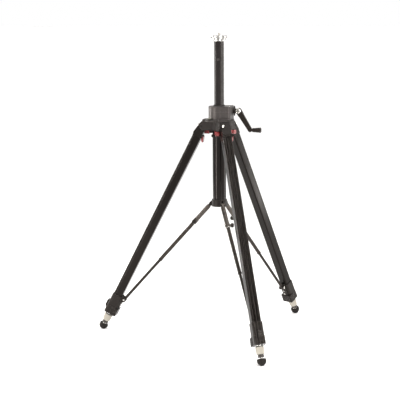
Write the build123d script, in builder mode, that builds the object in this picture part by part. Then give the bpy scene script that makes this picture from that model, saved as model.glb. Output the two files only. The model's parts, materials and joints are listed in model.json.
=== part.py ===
from build123d import *
import os
from math import sin, cos, tan, radians, degrees, pi, atan2, hypot, sqrt

os.makedirs("parts", exist_ok=True)

# Studio tripod stand with a geared centre column, three automatic-release
# legs and telescopic mid-level braces.  Millimetres.  +Z is up, the origin is
# on the floor under the column's axis, and the crank shaft points along +X.

# ---------------------------------------------------------------- dimensions
LEG_AZ = (180.0, -60.0, 60.0)      # azimuth of each leg
LEG_TILT = 27.0                    # leg angle from vertical in use
HINGE_R = 64.0                     # leg hinge, distance from the column axis
FOOT_R = 17.0                      # rubber foot radius
FOOT_C = 885.5                     # hinge to the centre of the foot's ball, along the leg

COL_AF = 33.4                      # column across its flats
COL_R = 18.4                       # column corner radius from the axis
COL_TOP, COL_BOT = 1123.0, 513.0   # column ends
DECK_TOP = 832.0                   # top of the shoulder casting
HOUSE_BOT, SPLIT_Z, HOUSE_TOP = 832.0, 861.5, 881.5
HOUSE_R = 40.0

MODULE, TEETH = 2.0, 14            # pinion
PITCH_R = MODULE * TEETH / 2
GEAR_W = 12.0                      # face width of pinion and rack
PINION_Y = COL_AF / 2 - MODULE + PITCH_R
SHAFT_R = 6.0

GUIDE_R = 25.5                     # guide tube under the shoulder
COLLAR_Z0, COLLAR_Z1 = 501.0, 528.0
BRACE_R, BRACE_Z = 33.0, 510.0     # brace pivot on the collar
BRACKET_C, BRACKET_U = 754.0, -29.0  # brace pivot on the leg, in leg coordinates

TUBE_W = 35.0                      # outer leg tube
MID_R, LOW_R = 13.9, 11.0
TUBE_C0, TUBE_C1 = 45.0, 775.0
MID_C0, MID_C1 = 80.0, 832.0
LOW_C0, LOW_C1 = 110.0, 848.0

TH = radians(LEG_TILT)
HINGE_Z = FOOT_R + FOOT_C * cos(TH)


# ------------------------------------------------------------------- frames
def polar(k):
    a = radians(LEG_AZ[k])
    return Vector(cos(a), sin(a), 0), Vector(-sin(a), cos(a), 0)


def leg_axes(k):
    er, et = polar(k)
    d = er * sin(TH) - Vector(0, 0, 1) * cos(TH)
    n = er * cos(TH) + Vector(0, 0, 1) * sin(TH)
    return er, et, d, n


def leg_plane(k, c=0.0, u=0.0, t=0.0):
    """Across leg k at distance c from its hinge: local x outward, z down the leg."""
    er, et, d, n = leg_axes(k)
    o = er * HINGE_R + Vector(0, 0, HINGE_Z) + d * c + n * u + et * t
    return Plane(origin=o, x_dir=n, z_dir=d)


def side_plane(k, t=0.0):
    """Side view of leg k: local x outward (u), local y down the leg (c), normal tangential."""
    er, et, d, n = leg_axes(k)
    return Plane(origin=er * HINGE_R + Vector(0, 0, HINGE_Z) + et * t, x_dir=n, z_dir=et)


def face_plane(k, u=0.0):
    """On leg k's outer face: local x down the leg (c), local y tangential, normal outward."""
    er, et, d, n = leg_axes(k)
    return Plane(origin=er * HINGE_R + Vector(0, 0, HINGE_Z) + n * u, x_dir=d, z_dir=n)


def arm_plane(k, t=0.0):
    """Upright radial plane of leg k: local x is radius, local y is height."""
    er, et = polar(k)
    return Plane(origin=et * t, x_dir=er, z_dir=-et)


def flat_plane(k, z):
    """Level plane turned to leg k: local x is radius, local y tangential."""
    er, et = polar(k)
    return Plane(origin=Vector(0, 0, z), x_dir=er, z_dir=Vector(0, 0, 1))


# brace line at rest
PR = HINGE_R + BRACKET_C * sin(TH) + BRACKET_U * cos(TH)
PZ = HINGE_Z - BRACKET_C * cos(TH) + BRACKET_U * sin(TH)
BRACE_L = hypot(PR - BRACE_R, BRACE_Z - PZ)
BETA = atan2(PR - BRACE_R, BRACE_Z - PZ)


def brace_axes(k):
    er, et = polar(k)
    b = er * sin(BETA) - Vector(0, 0, 1) * cos(BETA)
    m = er * cos(BETA) + Vector(0, 0, 1) * sin(BETA)
    return er, et, b, m


def brace_plane(k, s=0.0):
    er, et, b, m = brace_axes(k)
    return Plane(origin=er * BRACE_R + Vector(0, 0, BRACE_Z) + b * s, x_dir=m, z_dir=b)


def brace_side(k, t=0.0):
    """Side view of brace k: local x is the outward normal, local y along the brace."""
    er, et, b, m = brace_axes(k)
    return Plane(origin=er * BRACE_R + Vector(0, 0, BRACE_Z) + et * t, x_dir=m, z_dir=et)


def keep(builder, name):
    builder.part.label = name
    export_step(builder.part, f"parts/{name}.step")


# ==================================================================== centre
# ---- shoulder casting: deck, hub, three clevis arms and the trigger tongues
with BuildPart() as shoulder_casting:
    with BuildSketch(Plane.XY.offset(HINGE_Z + 18.4)):
        Circle(57)
        for k in range(3):
            with Locations(Location(Vector(0, 0, 0), Vector(0, 0, LEG_AZ[k]))):
                with Locations((31, 0)):
                    RectangleRounded(62, 49, 7)
    extrude(amount=DECK_TOP - HINGE_Z - 18.4)
    chamfer(shoulder_casting.faces().sort_by(Axis.Z)[-1].edges(), 2.2)
    with BuildSketch(Plane.XY.offset(791)):
        Circle(33)
    extrude(amount=DECK_TOP - 791 - 3)
    for k in range(3):
        with BuildSketch(arm_plane(k)):
            with BuildLine():
                Polyline((22, 791), (62, 791), (71, 800), (71, 813), (59.5, HINGE_Z + 18.6), (22, HINGE_Z + 18.6), close=True)
            make_face()
        extrude(amount=24.5, both=True)
        # room for the leg head between the cheeks
        with BuildSketch(arm_plane(k)):
            with BuildLine():
                Polyline((33.4, 785), (80, 785), (80, HINGE_Z + 18.4), (40, HINGE_Z + 18.4), (36.5, HINGE_Z + 12), close=True)
            make_face()
        extrude(amount=18.4, both=True, mode=Mode.SUBTRACT)
        # tongue that carries the upper trigger
        for side in (-1,):
            with BuildSketch(arm_plane(k, side * 19.2)):
                with BuildLine():
                    Polyline((24, 793), (24, 781), (27, 777.5), (33, 777.5), (36, 781), (36, 793), close=True)
                make_face()
            extrude(amount=2.1, both=True)
            with BuildSketch(arm_plane(k, side * 21.7)):
                with Locations((30, 783)):
                    Circle(3.0)
            extrude(amount=4.9, both=True)
        # hinge bolt hole
        with BuildSketch(arm_plane(k)):
            with Locations((HINGE_R, HINGE_Z)):
                Circle(5.0)
        extrude(amount=30, both=True, mode=Mode.SUBTRACT)
    # column passage and guide tube seat
    with BuildSketch(Plane.XY.offset(770)):
        Circle(GUIDE_R)
    extrude(amount=34, mode=Mode.SUBTRACT)
    with BuildSketch(Plane.XY.offset(770)):
        Circle(COL_R + 0.5)
    extrude(amount=70, mode=Mode.SUBTRACT)
keep(shoulder_casting, "shoulder_casting")

# ---- gear housing, split on the shaft line
def housing_outline():
    Circle(HOUSE_R)
    with Locations((24.5, 4)):
        RectangleRounded(49, 84, 9)


with BuildPart() as gear_housing:
    with BuildSketch(Plane.XY.offset(HOUSE_BOT)):
        housing_outline()
    extrude(amount=SPLIT_Z - HOUSE_BOT - 0.2)
    with BuildSketch(Plane.XY.offset(HOUSE_BOT)):
        offset(amount=1.4, objects=gear_housing.faces().sort_by(Axis.Z)[0])
    extrude(amount=3.2)
    # bearing boss around the crank shaft
    with BuildSketch(Plane.YZ.offset(44)):
        with Locations((PINION_Y, SPLIT_Z)):
            Circle(10)
    extrude(amount=7)
    with BuildSketch(Plane.XY.offset(HOUSE_BOT)):
        Circle(COL_R + 0.5)
    extrude(amount=40, mode=Mode.SUBTRACT)
    # pinion pocket, open to the column
    with BuildSketch(Plane.YZ):
        with Locations((PINION_Y, SPLIT_Z)):
            Circle(PITCH_R + MODULE + 0.8)
    extrude(amount=GEAR_W / 2 + 1.0, both=True, mode=Mode.SUBTRACT)
    with BuildSketch(Plane.YZ.offset(-16)):
        with Locations((PINION_Y, SPLIT_Z)):
            Circle(SHAFT_R + 0.06)
    extrude(amount=90, mode=Mode.SUBTRACT)
keep(gear_housing, "gear_housing")

with BuildPart() as housing_cap:
    with BuildSketch(Plane.XY.offset(SPLIT_Z)):
        housing_outline()
    extrude(amount=HOUSE_TOP - SPLIT_Z)
    fillet(housing_cap.faces().sort_by(Axis.Z)[-1].edges(), 4.0)
    # seat for the bush
    with BuildSketch(Plane.XY.offset(HOUSE_TOP - 2.2)):
        Circle(22.4)
    extrude(amount=10, mode=Mode.SUBTRACT)
    with BuildSketch(Plane.XY.offset(SPLIT_Z - 2)):
        Circle(COL_R + 0.5)
    extrude(amount=40, mode=Mode.SUBTRACT)
    with BuildSketch(Plane.YZ):
        with Locations((PINION_Y, SPLIT_Z)):
            Circle(PITCH_R + MODULE + 0.8)
    extrude(amount=GEAR_W / 2 + 1.0, both=True, mode=Mode.SUBTRACT)
    with BuildSketch(Plane.YZ.offset(-16)):
        with Locations((PINION_Y, SPLIT_Z)):
            Circle(SHAFT_R + 0.06)
    extrude(amount=60, mode=Mode.SUBTRACT)
    with BuildSketch(Plane.YZ.offset(43.5)):
        with Locations((PINION_Y, SPLIT_Z)):
            Circle(10.1)
    extrude(amount=20, mode=Mode.SUBTRACT)
keep(housing_cap, "housing_cap")

# ---- bush that the column runs in, flared at its foot
with BuildPart() as column_bush:
    with BuildSketch(Plane.XZ):
        with BuildLine():
            Polyline((COL_R + 0.05, HOUSE_TOP - 2.2), (22.4, HOUSE_TOP - 2.2), (22.4, HOUSE_TOP + 1.2), (19.8, HOUSE_TOP + 4.5),
                     (COL_R + 0.05, HOUSE_TOP + 4.5), close=True)
        make_face()
    revolve(axis=Axis.Z)
keep(column_bush, "column_bush")

# ---- geared column: rounded hexagon with a rack down its back flat
RACK_PITCH = pi * MODULE
with BuildPart() as column:
    with BuildSketch(Plane.XY.offset(COL_BOT)):
        RegularPolygon(COL_AF / 2, 6, major_radius=False, rotation=0)
        Circle(COL_R, mode=Mode.INTERSECT)
        Circle(7.0, mode=Mode.SUBTRACT)
    extrude(amount=COL_TOP - COL_BOT)
    with BuildSketch(Plane.XY.offset(COL_TOP)):
        Circle(12)
        Circle(7.0, mode=Mode.SUBTRACT)
    extrude(amount=8)
    # tooth gaps; a gap is centred on the shaft height
    with BuildSketch(Plane.YZ) as gaps:
        y_face = COL_AF / 2
        for i in range(-54, 41):
            zc = SPLIT_Z + i * RACK_PITCH
            if not (COL_BOT + 22 < zc < COL_TOP - 8):
                continue
            half = RACK_PITCH / 4 + 0.17
            ta = tan(radians(20))
            a_out = half + (MODULE + 1.0) * ta
            a_in = half - 1.25 * MODULE * ta
            with BuildLine():
                Polyline((y_face - 2.25 * MODULE, zc - a_in), (y_face + 1.0, zc - a_out), (y_face + 1.0, zc + a_out),
                         (y_face - 2.25 * MODULE, zc + a_in), close=True)
            make_face()
    extrude(amount=GEAR_W / 2 + 0.5, both=True, mode=Mode.SUBTRACT)
    # shallow round recess in the front flat below the head
    with BuildSketch(Plane.XZ.offset(COL_AF / 2 - 1.6)):
        with Locations((0, 1056)):
            Circle(6.5)
    extrude(amount=6, mode=Mode.SUBTRACT)
keep(column, "column")

# ---- plug in the column's lower end
with BuildPart() as column_end_plug:
    with BuildSketch(Plane.XZ):
        with BuildLine():
            Polyline((0, COL_BOT - 5), (14.5, COL_BOT - 5), (16.0, COL_BOT - 3.5), (16.0, COL_BOT), (7.0, COL_BOT), (7.0, COL_BOT + 16),
                     (0, COL_BOT + 16), close=True)
        make_face()
    revolve(axis=Axis.Z)
keep(column_end_plug, "column_end_plug")

# ---- head disc with its crenellated rim
with BuildPart() as head_disc:
    with BuildSketch(Plane.XZ):
        with BuildLine():
            Polyline((12, COL_TOP), (19.0, COL_TOP), (20.0, COL_TOP + 1.0), (20.0, COL_TOP + 4.5), (25.0, COL_TOP + 5.5), (25.5, COL_TOP + 6.0),
                     (25.5, COL_TOP + 11.0), (29.2, COL_TOP + 11.6), (30.0, COL_TOP + 12.4), (30.0, COL_TOP + 20.2), (29.2, COL_TOP + 21.0),
                     (5.4, COL_TOP + 21.0), (5.4, COL_TOP + 20.4), (4.0, COL_TOP + 20.4), (4.0, COL_TOP + 8.0), (12, COL_TOP + 8.0),
                     close=True)
        make_face()
    revolve(axis=Axis.Z)
    # notches round the rim's lower half
    with BuildSketch(Plane.XY.offset(COL_TOP + 9)):
        with PolarLocations(30.2, 18):
            Rectangle(5.2, 3.6)
    extrude(amount=7.4, mode=Mode.SUBTRACT)
    # grub screw hole
    with BuildSketch(Plane.XZ.offset(18)):
        with Locations((1.5, COL_TOP + 8.5)):
            Circle(1.9)
    extrude(amount=14, mode=Mode.SUBTRACT)
keep(head_disc, "head_disc")

with BuildPart() as head_stud:
    with BuildSketch(Plane.XZ):
        with BuildLine():
            Polyline((0, COL_TOP + 8.0), (4.0, COL_TOP + 8.0), (4.0, COL_TOP + 21.0), (4.76, COL_TOP + 21.0), (4.76, COL_TOP + 30.2), (3.9, COL_TOP + 31.0), (0, COL_TOP + 31.0), close=True)
        make_face()
    revolve(axis=Axis.Z)
keep(head_stud, "head_stud")

# ---- pinion and its shaft
def involute_tooth(base_r, tip_r, root_r, half_at_pitch):
    inv = lambda r: sqrt(max((r / base_r) ** 2 - 1, 0)) - atan2(sqrt(max((r / base_r) ** 2 - 1, 0)), 1)
    ip = inv(PITCH_R)
    pts = []
    n = 5
    r0 = max(base_r, root_r)
    for i in range(n):
        r = r0 + (tip_r - r0) * i / (n - 1)
        pts.append((r, half_at_pitch - (inv(r) - ip)))
    return pts


with BuildPart() as pinion_shaft:
    base_r = PITCH_R * cos(radians(20))
    tip_r = PITCH_R + MODULE - 0.25
    root_r = PITCH_R - 1.25 * MODULE
    half = pi / TEETH / 2 - 0.17 / PITCH_R
    side = involute_tooth(base_r, tip_r, root_r, half)
    outline = []
    for i in range(TEETH):
        # a tooth faces the rack, along -Y
        mid = pi + 2 * pi * i / TEETH
        outline.append((root_r, mid - side[0][1] - 0.01))
        for r, a in side:
            outline.append((r, mid - a))
        for r, a in reversed(side):
            outline.append((r, mid + a))
        outline.append((root_r, mid + side[0][1] + 0.01))
    with BuildSketch(Plane.YZ):
        with BuildLine():
            Polyline(*[(PINION_Y + r * cos(a), SPLIT_Z + r * sin(a)) for r, a in outline], close=True)
        make_face()
    extrude(amount=GEAR_W / 2 - 0.2, both=True)
    with BuildSketch(Plane.YZ.offset(-14)):
        with Locations((PINION_Y, SPLIT_Z)):
            Circle(SHAFT_R)
    extrude(amount=71.0)
keep(pinion_shaft, "pinion_shaft")

# ---- star knob that sets the column's drag
with BuildPart() as friction_knob:
    with BuildSketch(Plane.YZ.offset(51.6)):
        with Locations((PINION_Y, SPLIT_Z)):
            Circle(12.5)
            for i in range(4):
                with Locations(Location(Vector(0, 0, 0), Vector(0, 0, 90 * i))):
                    with Locations((12.5, 0)):
                        RectangleRounded(13, 7.5, 3.0)
    extrude(amount=3.6)
    with BuildSketch(Plane.YZ.offset(50)):
        with Locations((PINION_Y, SPLIT_Z)):
            Circle(SHAFT_R + 0.08)
    extrude(amount=20, mode=Mode.SUBTRACT)
keep(friction_knob, "friction_knob")

# ---- folding crank
CR_X = 68.6                        # fold axis
FOLD = radians(31.8)                 # the arm leans outward from straight down
ARM_L = 84.9
with BuildPart() as crank_hub:
    with BuildSketch(Plane.YZ.offset(55.6)):
        with Locations((PINION_Y, SPLIT_Z)):
            Circle(10.0)
    extrude(amount=1.9)
    with BuildSketch(Plane.XZ.offset(-PINION_Y)):
        with Locations((CR_X, SPLIT_Z)):
            Circle(9.5)
        with Locations((CR_X - 6.5, SPLIT_Z)):
            Rectangle(13, 16)
    extrude(amount=5.0, both=True)
    with BuildSketch(Plane.YZ.offset(54)):
        with Locations((PINION_Y, SPLIT_Z)):
            Circle(SHAFT_R)
    extrude(amount=8, mode=Mode.SUBTRACT)
    with BuildSketch(Plane.XZ.offset(-PINION_Y)):
        with Locations((CR_X, SPLIT_Z)):
            Circle(4.06)
    extrude(amount=12, both=True, mode=Mode.SUBTRACT)
keep(crank_hub, "crank_hub")


def crank_line(a, w=0.0):
    """Point at distance a down the crank arm and w to its outer side, in XZ."""
    return (CR_X + a * sin(FOLD) + w * cos(FOLD), SPLIT_Z - a * cos(FOLD) + w * sin(FOLD))


with BuildPart() as crank_arm:
    with BuildSketch(Plane.XZ.offset(-PINION_Y)):
        with BuildLine():
            Polyline(crank_line(0, -10.5), crank_line(ARM_L, -7.8), crank_line(ARM_L, 7.8), crank_line(0, 10.5), close=True)
        make_face()
        with Locations((CR_X, SPLIT_Z)):
            Circle(10.5)
        with Locations(crank_line(ARM_L)):
            Circle(7.8)
    extrude(amount=9.5, both=True)
    # thin the lower arm on both faces
    for sgn in (-1, 1):
        with BuildSketch(Plane.XZ.offset(-PINION_Y + sgn * 10.5)):
            with BuildLine():
                Polyline(crank_line(20, -20), crank_line(ARM_L + 20, -20), crank_line(ARM_L + 20, 20), crank_line(20, 20), close=True)
            make_face()
        extrude(amount=4.5, both=True, mode=Mode.SUBTRACT)
    # fork slot
    with BuildSketch(Plane.XZ.offset(-PINION_Y)):
        with Locations((CR_X, SPLIT_Z)):
            Circle(12.0)
    extrude(amount=5.3, both=True, mode=Mode.SUBTRACT)
    with BuildSketch(Plane.XZ.offset(-PINION_Y)):
        with Locations((CR_X, SPLIT_Z)):
            Circle(4.0)
    extrude(amount=20, both=True, mode=Mode.SUBTRACT)
    # pin for the grip
    gx, gz = crank_line(ARM_L)
    with BuildSketch(Plane.YZ.offset(gx)):
        with Locations((PINION_Y, gz)):
            Circle(3.6)
    extrude(amount=33.9)
keep(crank_arm, "crank_arm")

with BuildPart() as crank_pivot_screw:
    with BuildSketch(Plane.XZ.offset(-PINION_Y)):
        with Locations((CR_X, SPLIT_Z)):
            Circle(4.0)
    extrude(amount=13, both=True)
    with BuildSketch(Plane.XZ.offset(-PINION_Y + 9.6)):
        with Locations((CR_X, SPLIT_Z)):
            Circle(11.0)
    extrude(amount=4.4)
    chamfer(crank_pivot_screw.faces().sort_by(Axis.Y)[0].edges(), 1.6)
    with BuildSketch(Plane.XZ.offset(-PINION_Y + 12.4)):
        with Locations((CR_X, SPLIT_Z)):
            SlotOverall(11, 2.6)
    extrude(amount=4, mode=Mode.SUBTRACT)
    with BuildSketch(Plane.XZ.offset(-PINION_Y - 13.4)):
        with Locations((CR_X, SPLIT_Z)):
            RegularPolygon(6.5, 6)
    extrude(amount=3.8)
keep(crank_pivot_screw, "crank_pivot_screw")

with BuildPart() as crank_grip:
    g0 = gx + 8.4
    with BuildSketch(Plane(origin=(g0, PINION_Y, gz), x_dir=(1, 0, 0), z_dir=(0, -1, 0))):
        with BuildLine():
            Polyline((0, 3.68), (0, 7.4), (1.0, 8.2), (10, 8.4), (28.5, 10.2), (31.5, 9.8), (33.4, 7.4), (34, 0), (26, 0), (26, 3.68), close=True)
        make_face()
    revolve(axis=Axis((g0, PINION_Y, gz), (1, 0, 0)))
keep(crank_grip, "crank_grip")

# ---- guide tube below the shoulder with its ring flange
with BuildPart() as guide_tube:
    with BuildSketch(Plane.XZ):
        with BuildLine():
            Polyline((22.6, COLLAR_Z0 + 1), (GUIDE_R, COLLAR_Z0 + 1), (GUIDE_R, 764), (29.0, 764), (30.0, 765.5), (30.0, 772), (29.0, 773.5),
                     (GUIDE_R, 773.5), (GUIDE_R, 804), (22.6, 804), close=True)
        make_face()
    revolve(axis=Axis.Z)
keep(guide_tube, "guide_tube")

# ---- brace collar with three clevises and their pins
with BuildPart() as brace_collar:
    with BuildSketch(Plane.XY.offset(COLLAR_Z0)):
        Circle(29.5)
    extrude(amount=COLLAR_Z1 - COLLAR_Z0)
    chamfer(brace_collar.edges().group_by(Axis.Z)[-1], 1.5)
    for k in range(3):
        with BuildSketch(arm_plane(k)):
            with BuildLine():
                Polyline((24, COLLAR_Z1 - 6), (24, 503), (BRACE_R - 3, 503), (BRACE_R + 5, 504.5), (BRACE_R + 6.5, BRACE_Z),
                         (BRACE_R + 4, BRACE_Z + 6), (30, COLLAR_Z1 - 6), close=True)
            make_face()
        extrude(amount=8.6, both=True)
        with BuildSketch(arm_plane(k)):
            with Locations((BRACE_R + 8, BRACE_Z)):
                Rectangle(32, 30)
        extrude(amount=4.8, both=True, mode=Mode.SUBTRACT)
    with BuildSketch(Plane.XY.offset(COLLAR_Z0 - 2)):
        Circle(GUIDE_R)
    extrude(amount=40, mode=Mode.SUBTRACT)
    for k in range(3):
        with BuildSketch(arm_plane(k)):
            with Locations((BRACE_R, BRACE_Z)):
                Circle(2.5)
        extrude(amount=9.6, both=True)
keep(brace_collar, "brace_collar")

# ---- leg hinge pins, one group, flush with the cheeks and socketed at one end
with BuildPart() as hinge_bolts:
    for k in range(3):
        with BuildSketch(arm_plane(k)):
            with Locations((HINGE_R, HINGE_Z)):
                Circle(5.0)
        extrude(amount=24.9, both=True)
        with BuildSketch(arm_plane(k, -23.4)):
            with Locations((HINGE_R, HINGE_Z)):
                RegularPolygon(3.2, 6)
        extrude(amount=3, both=True, mode=Mode.SUBTRACT)
keep(hinge_bolts, "hinge_bolts")

# ---- bubble level on the deck
BUB = (50 * cos(radians(-125)), 50 * sin(radians(-125)))
with BuildPart() as bubble_level:
    with BuildSketch(Plane.XY.offset(DECK_TOP)):
        with Locations(BUB):
            Circle(7.6)
    extrude(amount=5.5)
    fillet(bubble_level.faces().sort_by(Axis.Z)[-1].edges(), 1.6)
keep(bubble_level, "bubble_level")


# ====================================================================== legs
def lobed(grow=0.0, bore=None):
    """Leg tube section: flat back and sides, three rounded lobes on the outer face."""
    h = TUBE_W / 2
    with Locations((-2.2, 0)):
        RectangleRounded(TUBE_W - 4.6 + 2 * grow, TUBE_W + 2 * grow, 5.0 + grow)
    for y in (-h + 6.0, 0, h - 6.0):
        with Locations((h - 6.0, y)):
            Circle(6.0 + grow)
    if bore:
        Circle(bore, mode=Mode.SUBTRACT)


for k in range(3):
    tag = f"leg_{k + 1}_"

    # top fitting: hinge eye, body, shield plate, spigot and lower trigger lugs
    with BuildPart() as top:
        with BuildSketch(side_plane(k)):
            Circle(17.4)
            with Locations((-0.2, 22)):
                Rectangle(34.6, 45)
        extrude(amount=17.9, both=True)
        with BuildSketch(face_plane(k, 14)):
            with BuildLine():
                Polyline((-2, -17.4), (29, -17.4), (40, -6), (43, 0), (40, 6), (29, 17.4), (-2, 17.4), close=True)
            make_face()
        extrude(amount=6.4)
        # the head's outer face leans in towards the deck
        with BuildSketch(side_plane(k)):
            with BuildLine():
                Polyline((6.4, -30), (20.4, 36), (40, 36), (40, -30), close=True)
            make_face()
        extrude(amount=30, both=True, mode=Mode.SUBTRACT)
        # boss for the tension screw
        with BuildSketch(face_plane(k, 10)):
            with Locations((3.5, -11.2)):
                Circle(6.2)
        extrude(amount=6.6)
        with BuildSketch(leg_plane(k, 40)):
            Circle(14.2)
        extrude(amount=34)
        with BuildSketch(leg_plane(k, 50)):
            Circle(9)
        extrude(amount=40, mode=Mode.SUBTRACT)
        for sgn in (-1, 1):
            with BuildSketch(side_plane(k, sgn * 13.4)):
                with BuildLine():
                    Polyline((-16, 31), (-21, 33), (-23.6, 36), (-23.6, 40), (-21, 43), (-16, 43.9), close=True)
                make_face()
            extrude(amount=1.5, both=True)
        with BuildSketch(side_plane(k)):
            with Locations((-20.4, 38)):
                Circle(2.06)
        extrude(amount=16, both=True, mode=Mode.SUBTRACT)
        with BuildSketch(side_plane(k)):
            Circle(5.06)
        extrude(amount=30, both=True, mode=Mode.SUBTRACT)
    keep(top, tag + "top_fitting")

    # outer tube
    with BuildPart() as tube:
        with BuildSketch(leg_plane(k, TUBE_C0)):
            lobed(0.0, 14.25)
        extrude(amount=TUBE_C1 - TUBE_C0)
    keep(tube, tag + "outer_tube")

    # lower casting: lobed sleeve, ribbed lock block, lever pad, brace bracket, screws and pins
    with BuildPart() as clamp:
        with BuildSketch(leg_plane(k, 747)):
            lobed(3.2)
        extrude(amount=81)
        with BuildSketch(leg_plane(k, 797)):
            lobed(4.4)
        extrude(amount=31)
        with BuildSketch(leg_plane(k, 797)):
            with Locations((-14.5, 0)):
                RectangleRounded(27, 47, 4)
        extrude(amount=31)
        # grooves down the block
        for y in (-16, -8, 0, 8, 16):
            with BuildSketch(leg_plane(k, 800)):
                with Locations((-28.2, y)):
                    Rectangle(2.8, 3.0)
            extrude(amount=30, mode=Mode.SUBTRACT)
        for u in (-24, -18, -12, -6):
            for sgn in (-1, 1):
                with BuildSketch(leg_plane(k, 800)):
                    with Locations((u, sgn * 23.6)):
                        Rectangle(2.6, 2.0)
                extrude(amount=30, mode=Mode.SUBTRACT)
        # lever pad on the outer face, towards one side, with finger grooves
        with BuildSketch(side_plane(k, 3.5)):
            with BuildLine():
                Polyline((15, 779), (26.6, 780.5), (28, 783), (28, 803), (21.5, 814), (15, 816), close=True)
            make_face()
        extrude(amount=10.2, both=True)
        for c in (785.0, 789.5, 794.0, 798.5):
            with BuildSketch(side_plane(k, 3.5)):
                with Locations((28.2, c)):
                    Rectangle(2.2, 2.0)
            extrude(amount=11, both=True, mode=Mode.SUBTRACT)
        # bracket base and cheeks on the inner side
        with BuildSketch(side_plane(k)):
            with BuildLine():
                Polyline((-17, 744), (-25, 748), (-25.5, 793), (-17, 796), close=True)
            make_face()
        extrude(amount=11.0, both=True)
        for sgn in (-1, 1):
            with BuildSketch(side_plane(k, sgn * 8.8)):
                with BuildLine():
                    Polyline((-17, 742), (-27, 745.5), (-36, 750), (-37, BRACKET_C + 3), (-33, BRACKET_C + 9), (-24, BRACKET_C + 14),
                             (-17, BRACKET_C + 14), close=True)
                make_face()
            extrude(amount=2.4, both=True)
        # room for the brace rod's eye
        with BuildSketch(side_plane(k)):
            with Locations((BRACKET_U - 2, BRACKET_C - 4)):
                Rectangle(22.2, 34)
        extrude(amount=6.4, both=True, mode=Mode.SUBTRACT)
        # tube and mid tube passages
        with BuildSketch(leg_plane(k, 740)):
            lobed(0.0)
        extrude(amount=TUBE_C1 - 740, mode=Mode.SUBTRACT)
        with BuildSketch(leg_plane(k, 740)):
            Circle(MID_R + 0.35)
        extrude(amount=120, mode=Mode.SUBTRACT)
        # pin ends in the cheeks, and screws
        for sgn in (-1, 1):
            with BuildSketch(side_plane(k, sgn * 9.1)):
                with Locations((BRACKET_U, BRACKET_C)):
                    Circle(2.5)
            extrude(amount=2.7, both=True)
        for c in (774.0, 788.0):
            with BuildSketch(face_plane(k, -24.5)):
                with Locations((c, 0)):
                    Circle(3.6)
            extrude(amount=-3.4)
    keep(clamp, tag + "clamp_casting")

    with BuildPart() as mid:
        with BuildSketch(leg_plane(k, MID_C0)):
            Circle(MID_R)
            Circle(LOW_R + 0.4, mode=Mode.SUBTRACT)
        extrude(amount=MID_C1 - MID_C0)
    keep(mid, tag + "mid_tube")

    with BuildPart() as low:
        with BuildSketch(leg_plane(k, LOW_C0)):
            Circle(LOW_R)
            Circle(LOW_R - 1.6, mode=Mode.SUBTRACT)
        extrude(amount=LOW_C1 - LOW_C0)
    keep(low, tag + "low_tube")

    # tapered ferrule with flutes down it, and its black ring on top
    with BuildPart() as ferrule:
        with BuildSketch(side_plane(k)):
            with BuildLine():
                Polyline((LOW_R, 832.5), (14.0, 832.5), (14.0, 836.2), (15.2, 836.6), (16.0, 837.6), (16.0, 842), (14.7, 860.5), (13.9, 863.0), (0, 863.0),
                         (0, LOW_C1), (LOW_R, LOW_C1), close=True)
            make_face()
        revolve(axis=Axis(leg_plane(k, 0).origin, leg_plane(k, 0).z_dir))
        with BuildSketch(leg_plane(k, 838.8)):
            with PolarLocations(16.2, 16):
                Circle(1.5)
        extrude(amount=26, mode=Mode.SUBTRACT)
    keep(ferrule, tag + "ferrule")

    # foot spindle: flared cap, stem and spike
    with BuildPart() as spindle:
        with BuildSketch(side_plane(k)):
            with BuildLine():
                Polyline((0, 863), (10.6, 863), (10.6, 865), (12.2, 871.2), (11.6, 872.5), (4.0, 872.5), (4.0, 893.0), (0.6, 900.2), (0, 900.2),
                         close=True)
            make_face()
        revolve(axis=Axis(leg_plane(k, 0).origin, leg_plane(k, 0).z_dir))
    keep(spindle, tag + "foot_spindle")

    # rubber foot: flat top, ball underneath, bored for the spike
    with BuildPart() as foot:
        with BuildSketch(side_plane(k)):
            with BuildLine():
                Polyline((4.35, 878.4), (15.6, 878.4), (16.6, 879.2), (FOOT_R, 880.4), (FOOT_R, FOOT_C))
                RadiusArc((FOOT_R, FOOT_C), (4.35, FOOT_C + sqrt(FOOT_R ** 2 - 4.35 ** 2)), -FOOT_R)
                Line((4.35, FOOT_C + sqrt(FOOT_R ** 2 - 4.35 ** 2)), (4.35, 878.4))
            make_face()
        revolve(axis=Axis(leg_plane(k, 0).origin, leg_plane(k, 0).z_dir))
    keep(foot, tag + "rubber_foot")

    # upper trigger: red lever along one side of the shoulder's arm, with a finger knob and a catch under the arm
    with BuildPart() as trig_up:
        with BuildSketch(arm_plane(k, -24.25)):
            with BuildLine():
                Polyline((22, 777), (46, 776), (60, 777), (61, 783), (58, 788.9), (22, 788.9), close=True)
            make_face()
        extrude(amount=2.55, both=True)
        with BuildSketch(arm_plane(k, -26.35)):
            with BuildLine():
                Polyline((47, 776), (49, 774), (60, 774), (62, 777), (62, 786), (59, 788.9), (49, 788.9), (47, 786), close=True)
            make_face()
        extrude(amount=4.65, both=True)
        with BuildSketch(arm_plane(k, -6.4)):
            with BuildLine():
                Polyline((36.4, 777), (40.4, 777), (40.4, 788.6), (36.4, 788.6), close=True)
            make_face()
        extrude(amount=20.4, both=True)
        with BuildSketch(arm_plane(k)):
            with Locations((30, 783)):
                Circle(3.08)
        extrude(amount=40, both=True, mode=Mode.SUBTRACT)
    keep(trig_up, tag + "trigger_upper")

    # lower trigger: red finger lever on the leg's inner face
    with BuildPart() as trig_low:
        with BuildSketch(side_plane(k)):
            with BuildLine():
                Polyline((-18.4, 36), (-19.5, 34.6), (-23, 35.2), (-25, 38), (-27.5, 46), (-30.5, 54.5), (-27, 56), (-21, 50), (-18.4, 44), close=True)
            make_face()
        extrude(amount=11.4, both=True)
        with BuildSketch(side_plane(k)):
            with Locations((-20.4, 38)):
                Circle(2.0)
        extrude(amount=14.6, both=True)
    keep(trig_low, tag + "trigger_lower")

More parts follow.
